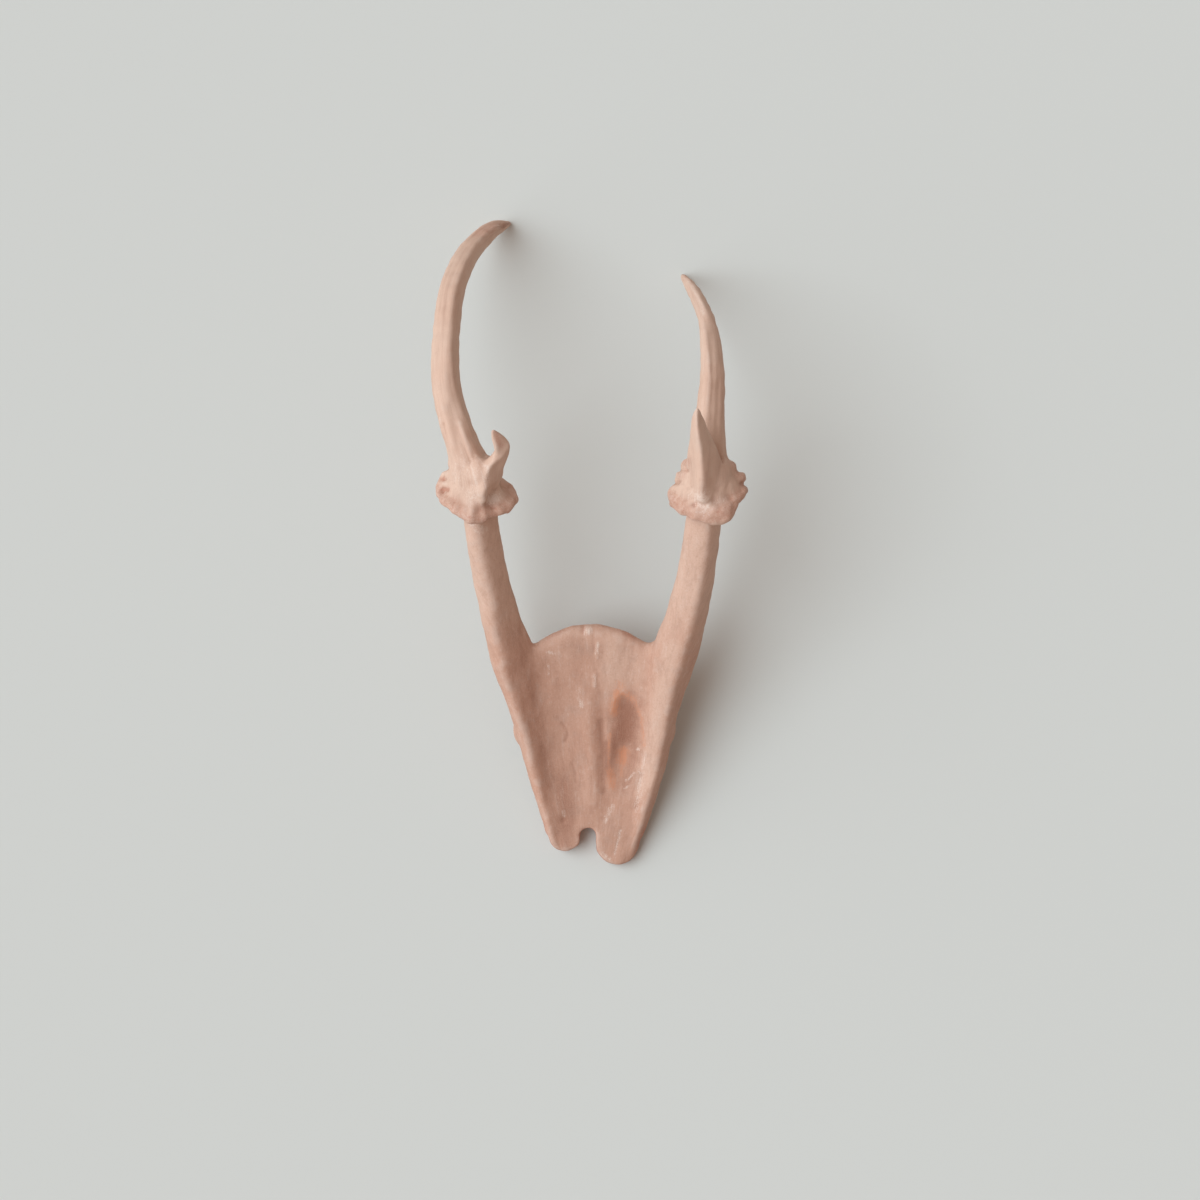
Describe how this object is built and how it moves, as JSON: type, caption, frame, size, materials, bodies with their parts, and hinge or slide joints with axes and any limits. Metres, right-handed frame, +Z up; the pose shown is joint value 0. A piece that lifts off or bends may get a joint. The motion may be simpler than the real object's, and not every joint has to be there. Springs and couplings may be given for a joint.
{
  "type": "deer frontlet (antlered skull plate)",
  "caption": "Forehead plate of a small muntjac-type deer with long pedicles, lumpy burrs, hooked antler beams and short brow tines, lying face up.",
  "frame": {"origin": "on the floor, under the middle of the bounding box", "axes": "+Y from the nose ends towards the antler tips, +Z up, +X to the right as seen from above with the nose at the bottom"},
  "size_m": [0.1165, 0.2473, 0.0927],
  "materials": {
    "plate_bone": "matt clay-pink coated bone, brushed along its length, rubbed paler on the ridges",
    "pedicle_bone": "matt clay-pink coated bone, smooth",
    "burr_antler": "matt clay-pink coated antler, lumpy and pitted",
    "beam_antler": "matt clay-pink coated antler, faintly grooved along its length"
  },
  "bodies": {
    "root": {"skull_plate": "plate_bone", "left_pedicle": "pedicle_bone", "right_pedicle": "pedicle_bone", "left_burr": "burr_antler", "right_burr": "burr_antler", "left_beam": "beam_antler", "right_beam": "beam_antler", "left_brow_tine": "beam_antler", "right_brow_tine": "beam_antler"}
  },
  "joints": []
}
